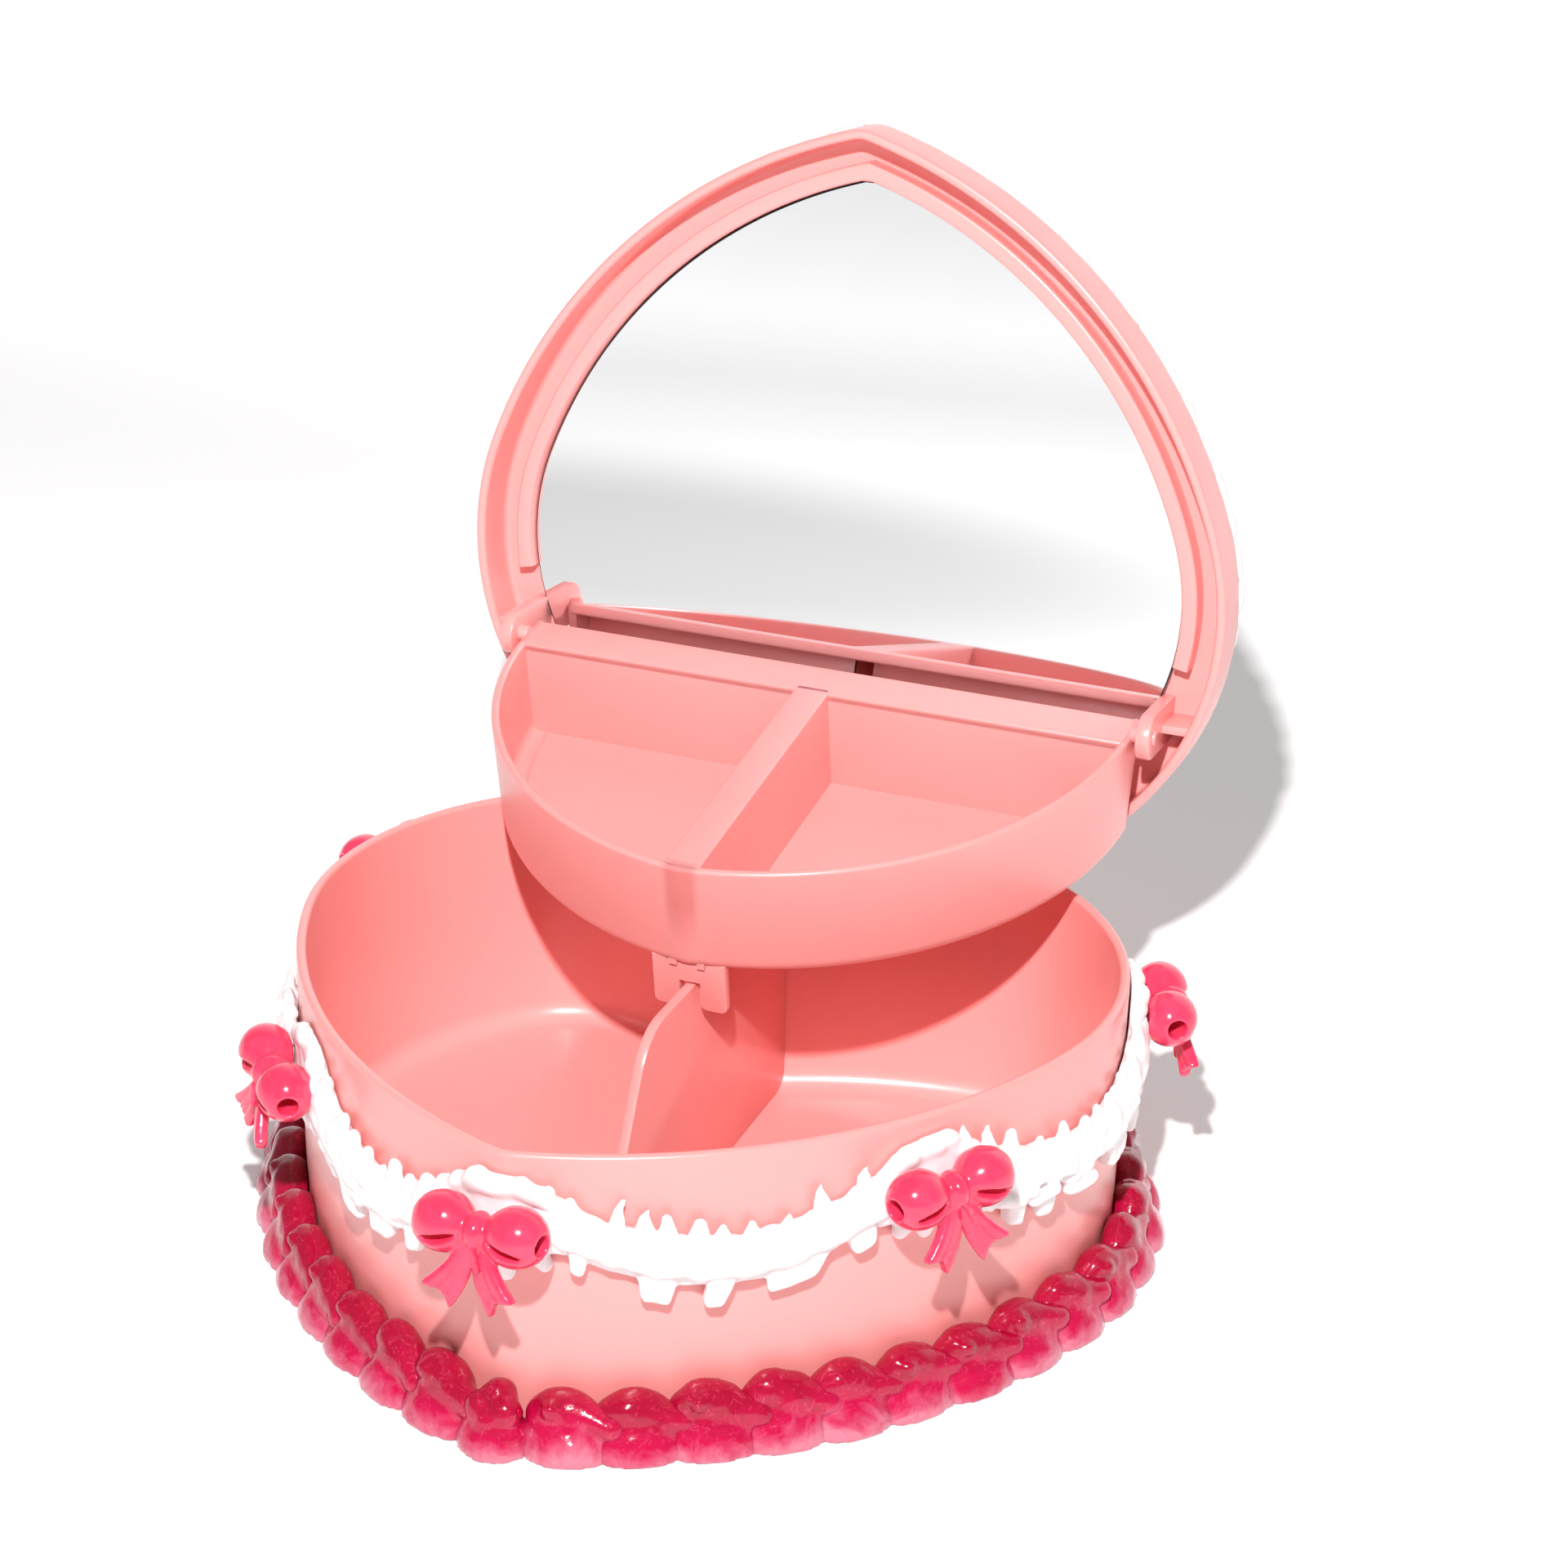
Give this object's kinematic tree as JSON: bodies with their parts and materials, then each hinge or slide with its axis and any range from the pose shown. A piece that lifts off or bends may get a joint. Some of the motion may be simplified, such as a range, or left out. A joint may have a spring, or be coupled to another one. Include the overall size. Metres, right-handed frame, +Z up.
{
  "type": "ballerina jewellery box",
  "caption": "Heart-shaped trinket box with a mirrored lid, a lift-up half-heart tray carried by the lid, and cake-style piped trim with bows.",
  "frame": {"origin": "on the resting plane, midway between the centres of the heart's two shoulder arcs", "axes": "+Z up, +Y towards the hinge, the heart's tip towards -Y, X across the box"},
  "size_m": [0.168, 0.1747, 0.1805],
  "materials": {
    "bowl_plastic": "glossy translucent pink injection-moulded plastic",
    "lid_plastic": "glossy translucent pink injection-moulded plastic",
    "tray_plastic": "glossy translucent pink injection-moulded plastic",
    "mirror": "silvered, with a dark cut edge",
    "tape": "white foam adhesive tape",
    "pin_steel": "plain drawn wire",
    "border_resin": "glossy translucent raspberry decoration gel",
    "cream": "smooth white decoration cream, satin sheen",
    "bow_resin": "glossy hot-pink cast resin"
  },
  "bodies": {
    "bowl": {"base_body": "bowl_plastic", "base_border": "border_resin", "cream_swag_front_left": "cream", "cream_swag_front_right": "cream", "cream_swag_side_left": "cream", "cream_swag_side_right": "cream", "cream_swag_back_left": "cream", "cream_swag_back_right": "cream", "cream_dab_tip": "cream", "cream_dab_front_left": "cream", "cream_dab_front_right": "cream", "cream_dab_rear_left": "cream", "cream_dab_rear_right": "cream", "cream_dab_back": "cream", "bow_tip": "bow_resin", "bow_front_left": "bow_resin", "bow_front_right": "bow_resin", "bow_rear_left": "bow_resin", "bow_rear_right": "bow_resin", "bow_back": "bow_resin"},
    "lid": {"lid_shell": "lid_plastic", "mirror": "mirror", "mirror_tape": "tape", "lid_edging": "cream", "hinge_pin_left": "pin_steel", "hinge_pin_right": "pin_steel"},
    "tray": {"tray": "tray_plastic"}
  },
  "joints": [
    {"name": "lid_hinge", "type": "hinge", "parent": "bowl", "child": "lid", "pos_m": [0, 0.04983, 0.0482], "axis": [1, 0, 0], "range_deg": [0, 95]},
    {"name": "tray_pivot", "type": "hinge", "parent": "lid", "child": "tray", "pos_m": [0, 0.05105, 0.07931], "axis": [1, 0, 0], "range_deg": [-103.75, 0]}
  ],
  "couplings": [
    {"joint": "tray_pivot", "follows": "lid_hinge", "ratio": -1.0921}
  ]
}
